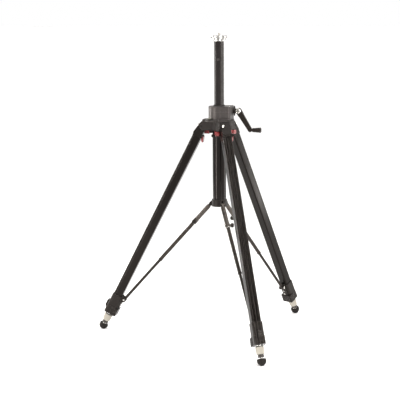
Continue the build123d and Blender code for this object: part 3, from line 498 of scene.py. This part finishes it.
# ---------------------------------------------------------------------------- legs
for k in range(3):
    tag = f"leg_{k + 1}"
    L = leg_frame(k)
    A = arm_frame(k)
    B = brace_frame(k)
    er, et = polar(k)

    # silver ring at the mid tube's end, black ring under it
    lathe(f"{tag}_mid_ring", at(L, 0, 0, 828.4), [(13.95, 0), (15.2, 0.5), (15.5, 1.2), (15.5, 3.0), (15.2, 3.6), (13.95, 3.6)], ring_silver, f"{tag}_mid")
    prof = [(11.0, 832.5), (14.4, 832.5), (14.7, 833.0), (14.7, 836.0), (14.2, 836.4)]
    fprof = [(11.02, 836.4), (14.8, 836.4), (15.7, 837.0), (15.98, 837.9), (15.98, 839.0), (15.98, 839.8), (15.95, 842.0), (15.3, 852.0), (14.7, 860.0),
             (14.5, 861.2), (14.1, 862.4), (13.4, 863.0), (0, 863.0), (0, 848.2), (11.02, 848.2)]
    lathe(f"{tag}_low_ring", L, prof + [(11.0, 836.4)], MAT["knob_black"], f"{tag}_low")
    fer = lathe(f"{tag}_ferrule_ribbed", L, fprof, MAT["ferrule_grey"], f"{tag}_low", seg=128,
                wave=lambda a, r, h: -1.1 * max(0.0, math.cos(16 * a)) ** 1.5 if 839.4 < h < 860.8 and r > 12 else 0.0)
    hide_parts(f"{tag}_ferrule")

    cap = lathe(f"{tag}_foot_cap", L, [(0, 863), (10.4, 863), (10.9, 863.6), (10.7, 865.4), (11.4, 868.4), (12.3, 870.9), (12.2, 872.0), (11.5, 872.5), (5.2, 872.5), (5.0, 871.5), (0, 871.5)],
                MAT["spindle"], f"{tag}_low", closed=False,
                wave=lambda a, r, h: 0.28 * math.cos(24 * a) if 866 < h < 872 else 0.0, seg=96)
    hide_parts(f"{tag}_foot_spindle")
    lathe(f"{tag}_foot_stem", L, [(0, 871.4), (4.0, 871.4), (4.0, 872.6), (3.7, 873.0), (4.0, 873.5), (3.7, 874.0), (4.0, 874.5), (3.7, 875.0), (4.0, 875.5), (3.7, 876.0), (4.0, 876.5),
                                  (3.7, 877.0), (4.0, 877.5), (4.0, 893.0), (0.6, 900.2), (0, 900.3)], stem_steel, f"{tag}_low", closed=False, seg=40)

    fprof = [(4.35, 880.0), (5.6, 880.0), (5.9, 879.0), (15.2, 878.5), (16.2, 878.9), (16.9, 879.8), (16.98, 881.2), (16.98, 884.6)]
    for i in range(1, 22):
        a = math.radians(3.9 * i)
        z = 885.5 + (FOOT_R - 0.02) * math.sin(a)
        r = (FOOT_R - 0.02) * math.cos(a)
        if r < 4.6:
            break
        groove = 0.0 if i not in (5, 9, 13) else 0.55
        fprof.append((r - groove, z - groove * 0.4))
    fprof += [(4.35, 885.5 + math.sqrt(FOOT_R ** 2 - 4.35 ** 2) - 0.1)]
    foot = lathe(f"{tag}_foot_moulding", L, fprof, MAT["foot_rubber"], f"{tag}_foot", seg=64)
    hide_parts(f"{tag}_rubber_foot")
    lathe(f"{tag}_foot_washer", at(L, 0, 0, 878.1), [(4.4, 0), (8.2, 0), (8.6, 0.25), (8.6, 0.8), (8.2, 1.0), (4.4, 1.0)], screw_steel, f"{tag}_foot")

    # bracket screws and brace pin heads
    for j, c in enumerate((774.0, 788.0)):
        socket_screw(f"{tag}_bracket_screw_{j + 1}", turn_to(L, (-1, 0, 0), (-25.2, 0, c)), 3.9, 3.2, tag, screw_steel, 0.5)
    for sgn in (-1, 1):
        lathe(f"{tag}_brace_pin_{'a' if sgn < 0 else 'b'}", turn_to(L, (0, sgn, 0), (-29, sgn * 10.4, 754)), [(0, 0), (3.9, 0), (3.9, 0.9), (3.2, 1.7), (1.6, 2.1), (0, 2.2)],
              screw_steel, tag, closed=False, seg=32)

    # hinge pin, flush with the cheeks and socketed at one end
    hb = axis_frame(er * HINGE_R + UP * HINGE_Z - et * 24.5, -et)
    pin = lathe(f"{tag}_hinge_pin", hb, [(0, -49.3), (4.5, -49.3), (4.95, -48.9), (4.95, 0.0), (4.5, 0.36), (3.2, 0.36), (3.0, 0.1), (2.9, -2.2), (0, -2.4)],
                MAT["collar_black"], "base", closed=False, seg=48)
    if k == 0:
        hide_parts("hinge_bolts")
    # tension screw on the leg head's boss
    socket_screw(f"{tag}_tension_screw", turn_to(L, (1, 0, 0), (16.7, 11.2, 3.5)), 5.2, 4.6, tag, MAT["screw_chrome"], 0.5)

    # brace lock knob and the nut on the far side
    kb = turn_to(B, (0, -1, 0), (0, -13.4, 93))
    knob = lathe(f"{tag}_knob_moulding", kb, [(0, 0), (6.2, 0), (6.6, 0.6), (8.5, 1.4), (8.7, 2.2), (8.7, 8.0), (8.3, 9.0), (7.2, 9.6), (4.0, 9.9), (0, 10.0)],
                 MAT["knob_black"], f"{tag}_knob", closed=False, seg=112,
                 wave=lambda a, r, h: -0.9 * max(0.0, math.cos(7 * a)) ** 3 if h > 1 and r > 8 else 0.0, sharp=50)
    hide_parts(f"{tag}_brace_knob")
    nm = turn_to(B, (0, 1, 0), (0, 9.2, 93))
    prism(f"{tag}_brace_nut", nm, [(5.2 * math.cos(math.radians(60 * i)), 5.2 * math.sin(math.radians(60 * i))) for i in range(6)], 0.0, 3.4, screw_steel, f"{tag}_brace", bevel=0.4)
    lathe(f"{tag}_sleeve_ring", at(B, 0, 0, 102), [(7.55, 0), (9.2, 0.1), (9.2, 1.6), (8.6, 2.2), (7.55, 2.2)], screw_steel, f"{tag}_brace")
    lathe(f"{tag}_mid_end_ring", at(B, 0, 0, 298), [(7.2, 0), (7.9, 0.4), (7.9, 4.6), (7.2, 5.4), (6.1, 5.4), (6.1, 2.0)], MAT["knob_black"], f"{tag}_brace_mid")

# -------------------------------------------------------------------- studio
bm = bmesh.new()
bmesh.ops.create_grid(bm, x_segments=8, y_segments=8, size=60)
me = bpy.data.meshes.new("floor")
bm.to_mesh(me)
bm.free()
floor = bpy.data.objects.new("floor", me)
scene.collection.objects.link(floor)
fl = Nodes("floor_pale")
n1 = fl.noise(fl.add("ShaderNodeTexCoord").outputs["Object"], 1.5, 3.0)
fl.link(fl.ramp(n1, 0.3, 0.7, (0.90, 0.90, 0.90), (0.92, 0.92, 0.92)), fl.b.inputs["Base Color"])
fl.b.inputs["Roughness"].default_value = 0.9
fl.b.inputs["Specular IOR Level"].default_value = 0.1
me.materials.append(fl.m)

CAM_AZ, CAM_EL, CAM_D = 12.508, 8.608, 5.0
world = bpy.data.worlds.new("studio")
scene.world = world
world.use_nodes = True
wt = world.node_tree
for n in list(wt.nodes):
    wt.nodes.remove(n)
wo = wt.nodes.new("ShaderNodeOutputWorld")
plain = wt.nodes.new("ShaderNodeBackground")
plain.inputs[0].default_value = (1, 1, 1, 1)
plain.inputs[1].default_value = 1.0
room = wt.nodes.new("ShaderNodeBackground")
tcw = wt.nodes.new("ShaderNodeTexCoord")
dot = wt.nodes.new("ShaderNodeVectorMath")
dot.operation = "DOT_PRODUCT"
a = math.radians(CAM_AZ)
dot.inputs[1].default_value = (math.sin(a), -math.cos(a), 0.0)
wt.links.new(tcw.outputs["Generated"], dot.inputs[0])
ramp = wt.nodes.new("ShaderNodeValToRGB")
ramp.color_ramp.elements[0].position = 0.38
ramp.color_ramp.elements[0].color = (1.0, 0.965, 0.94, 1)
ramp.color_ramp.elements[1].position = 0.70
ramp.color_ramp.elements[1].color = (0.10, 0.098, 0.095, 1)
half = wt.nodes.new("ShaderNodeMapRange")
half.inputs[1].default_value = -1.0
half.inputs[2].default_value = 1.0
wt.links.new(dot.outputs["Value"], half.inputs[0])
wt.links.new(half.outputs[0], ramp.inputs[0])
wt.links.new(ramp.outputs[0], room.inputs[0])
room.inputs[1].default_value = 0.62
path = wt.nodes.new("ShaderNodeLightPath")
mixw = wt.nodes.new("ShaderNodeMixShader")
wt.links.new(path.outputs["Is Camera Ray"], mixw.inputs[0])
wt.links.new(room.outputs[0], mixw.inputs[1])
wt.links.new(plain.outputs[0], mixw.inputs[2])
wt.links.new(mixw.outputs[0], wo.inputs[0])


def softbox(name, az, el, dist, size_x, size_y, watts, aim=(0, 0, 0.6), tint=(1, 1, 1)):
    a, e = math.radians(az), math.radians(el)
    light = bpy.data.lights.new(name, "AREA")
    light.shape = "RECTANGLE"
    light.size, light.size_y = size_x, size_y
    light.energy = watts
    light.color = tint
    o = bpy.data.objects.new(name, light)
    o.location = Vector(aim) + Vector((math.sin(a) * math.cos(e), -math.cos(a) * math.cos(e), math.sin(e))) * dist
    o.rotation_euler = (Vector(aim) - o.location).to_track_quat("-Z", "Y").to_euler()
    scene.collection.objects.link(o)
    return o


softbox("soft_front_high", CAM_AZ + 34, 46, 3.2, 0.20, 2.2, 70, tint=(1.0, 0.97, 0.94))
softbox("soft_left", CAM_AZ - 56, 10, 3.2, 0.18, 2.8, 75, tint=(1.0, 0.98, 0.95))
softbox("soft_left_back", CAM_AZ - 114, 10, 3.2, 0.30, 2.8, 90, tint=(1.0, 0.97, 0.93))
softbox("soft_right", CAM_AZ + 24, 10, 3.4, 0.18, 2.8, 70, tint=(1.0, 0.98, 0.96))
softbox("soft_right_back", CAM_AZ + 102, 10, 3.2, 0.22, 2.8, 40, tint=(1.0, 0.98, 0.96))
sun = bpy.data.lights.new("soft_overhead", "SUN")
sun.energy = 2.6
sun.angle = math.radians(70)
sun_o = bpy.data.objects.new("soft_overhead", sun)
sun_o.rotation_euler = (math.radians(-8), math.radians(6), 0)
scene.collection.objects.link(sun_o)

# ---------------------------------------------------------------------- camera
cam_data = bpy.data.cameras.new("camera")
cam = bpy.data.objects.new("camera", cam_data)
scene.collection.objects.link(cam)
scene.camera = cam
cam_data.sensor_width = 36.0
F_PX = 1316.7
cam_data.lens = F_PX / 400.0 * 36.0
cam_data.dof.use_dof = False
cam_data.clip_end = 200.0
ce, ca = math.radians(CAM_EL), math.radians(CAM_AZ)
back = Vector((math.sin(ca) * math.cos(ce), -math.cos(ca) * math.cos(ce), math.sin(ce)))
right = Vector((math.cos(ca), math.sin(ca), 0))
up = back.cross(right)
# the column stands a little right of the picture's middle
target = Vector((0, 0, 0.5243)) - right * (19.48 * CAM_D / F_PX)
roll = math.radians(-0.326)
r2 = right * math.cos(roll) + up * math.sin(roll)
u2 = -right * math.sin(roll) + up * math.cos(roll)
cm = Matrix((r2, u2, back)).transposed().to_4x4()
cm.translation = target + back * CAM_D
cam.matrix_world = cm

scene.view_settings.view_transform = "Standard"
scene.view_settings.look = "None"
scene.view_settings.exposure = 0.0
scene.view_settings.gamma = 1.0
